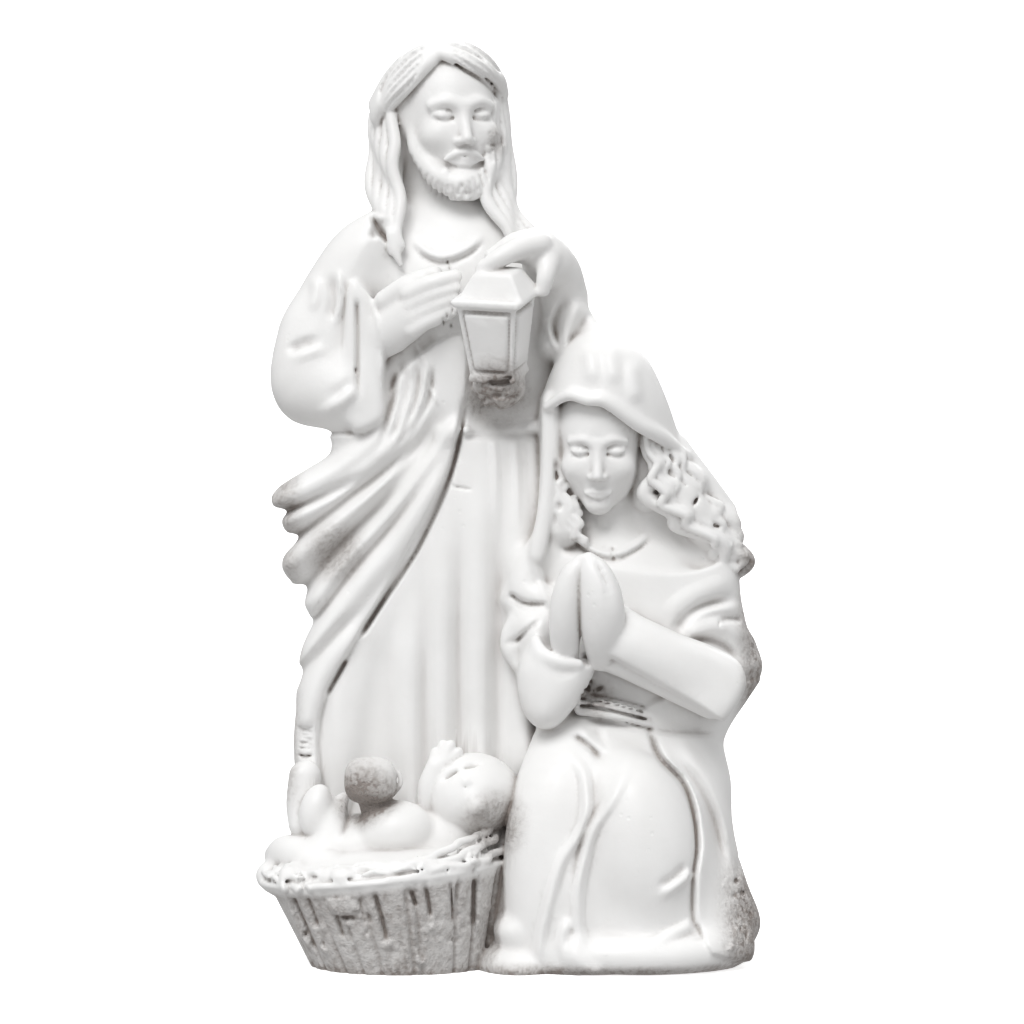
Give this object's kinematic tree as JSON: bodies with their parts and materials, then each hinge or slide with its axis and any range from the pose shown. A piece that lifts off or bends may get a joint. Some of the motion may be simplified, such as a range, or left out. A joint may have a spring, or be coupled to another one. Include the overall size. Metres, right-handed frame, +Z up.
{
  "type": "holy family statue",
  "caption": "Small white cast plaster group: a standing bearded man with a lantern, a kneeling praying woman and a child lying in a round tub of hay, flat below.",
  "frame": {"origin": "on the flat underside, below the middle of the group's box", "axes": "+Z up, -Y towards the side that the figures face, +X towards the kneeling woman"},
  "size_m": [0.0968, 0.0572, 0.177],
  "materials": {
    "plaster": "matte white cast plaster with fine air bubbles"
  },
  "bodies": {
    "root": {"holy_family": "plaster"}
  },
  "joints": []
}
